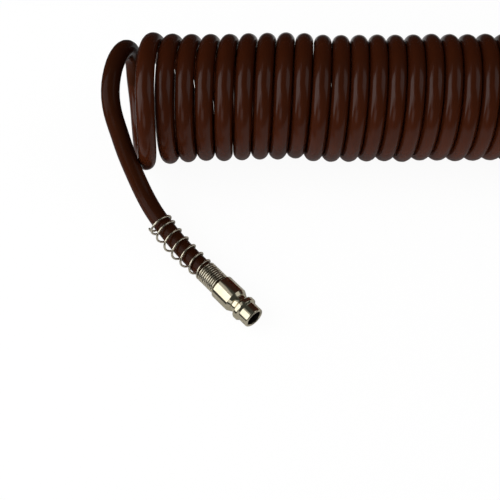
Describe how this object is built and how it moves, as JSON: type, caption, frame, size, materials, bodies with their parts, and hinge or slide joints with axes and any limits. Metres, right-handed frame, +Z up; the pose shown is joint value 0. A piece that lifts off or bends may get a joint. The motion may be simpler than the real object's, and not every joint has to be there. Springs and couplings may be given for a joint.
{
  "type": "coiled air hose",
  "caption": "Coiled plastic air hose with spring bend guards, a plug nipple at one end and a ball-locking quick coupler with a shut-off valve at the other.",
  "frame": {"origin": "on the floor, under the middle turn of the coil, at the flat that the coil rests on", "axes": "+X along the coil, from the plug's end to the coupler's; +Y to the back, away from the plug; +Z up"},
  "size_m": [0.366, 0.1408, 0.0619],
  "materials": {
    "hose": "smooth gloss, dark brown",
    "plated_steel": "bright nickel plate, warm",
    "spring_wire": "bright plated spring wire",
    "seal": "black nitrile rubber",
    "valve_brass": "turned brass",
    "ball_steel": "polished bearing balls"
  },
  "bodies": {
    "hose_and_plug": {"hose_coil": "hose", "hose_tail_plug": "hose", "hose_end_plug": "hose", "plug_nipple": "plated_steel", "plug_guard": "spring_wire"},
    "coupler_end": {"hose_tail_coupler": "hose", "hose_end_coupler": "hose", "coupler_guard": "spring_wire", "hose_adapter": "plated_steel", "adapter_seal": "seal", "coupler_body": "plated_steel", "mouth_seal": "seal", "valve_spring": "spring_wire", "sleeve_spring": "spring_wire", "retaining_ring": "spring_wire"},
    "valve": {"valve_poppet": "valve_brass"},
    "sleeve": {"release_sleeve": "plated_steel"},
    "locking_ball_1": {"ball_1": "ball_steel"},
    "locking_ball_2": {"ball_2": "ball_steel"},
    "locking_ball_3": {"ball_3": "ball_steel"},
    "locking_ball_4": {"ball_4": "ball_steel"},
    "locking_ball_5": {"ball_5": "ball_steel"},
    "locking_ball_6": {"ball_6": "ball_steel"}
  },
  "joints": [
    {"name": "coil_stretch", "type": "slide", "parent": "hose_and_plug", "child": "coupler_end", "axis": [1, 0, 0], "range_m": [0, 3.3], "stiffness_N_per_m": 4, "deforming": ["hose_coil"]},
    {"name": "sleeve_slide", "type": "slide", "parent": "coupler_end", "child": "sleeve", "axis": [-1, 0, 0], "range_m": [0, 0.004], "stiffness_N_per_m": 2000, "springref_m": -0.003, "deforming": ["sleeve_spring"]},
    {"name": "valve_slide", "type": "slide", "parent": "coupler_end", "child": "valve", "axis": [-1, 0, 0], "range_m": [0, 0.0056], "stiffness_N_per_m": 900, "springref_m": -0.004, "deforming": ["valve_spring"]},
    {"name": "ball_1_slide", "type": "slide", "parent": "coupler_end", "child": "locking_ball_1", "axis": [0, 0.5, -0.866], "range_m": [0, 0.001]},
    {"name": "ball_2_slide", "type": "slide", "parent": "coupler_end", "child": "locking_ball_2", "axis": [0, 1, 0], "range_m": [0, 0.001]},
    {"name": "ball_3_slide", "type": "slide", "parent": "coupler_end", "child": "locking_ball_3", "axis": [0, 0.5, 0.866], "range_m": [0, 0.001]},
    {"name": "ball_4_slide", "type": "slide", "parent": "coupler_end", "child": "locking_ball_4", "axis": [0, -0.5, 0.866], "range_m": [0, 0.001]},
    {"name": "ball_5_slide", "type": "slide", "parent": "coupler_end", "child": "locking_ball_5", "axis": [0, -1, 0], "range_m": [0, 0.001]},
    {"name": "ball_6_slide", "type": "slide", "parent": "coupler_end", "child": "locking_ball_6", "axis": [0, -0.5, -0.866], "range_m": [0, 0.001]}
  ],
  "couplings": [
    {"joint": "ball_1_slide", "follows": "sleeve_slide", "ratio": 0.25},
    {"joint": "ball_2_slide", "follows": "sleeve_slide", "ratio": 0.25},
    {"joint": "ball_3_slide", "follows": "sleeve_slide", "ratio": 0.25},
    {"joint": "ball_4_slide", "follows": "sleeve_slide", "ratio": 0.25},
    {"joint": "ball_5_slide", "follows": "sleeve_slide", "ratio": 0.25},
    {"joint": "ball_6_slide", "follows": "sleeve_slide", "ratio": 0.25}
  ]
}
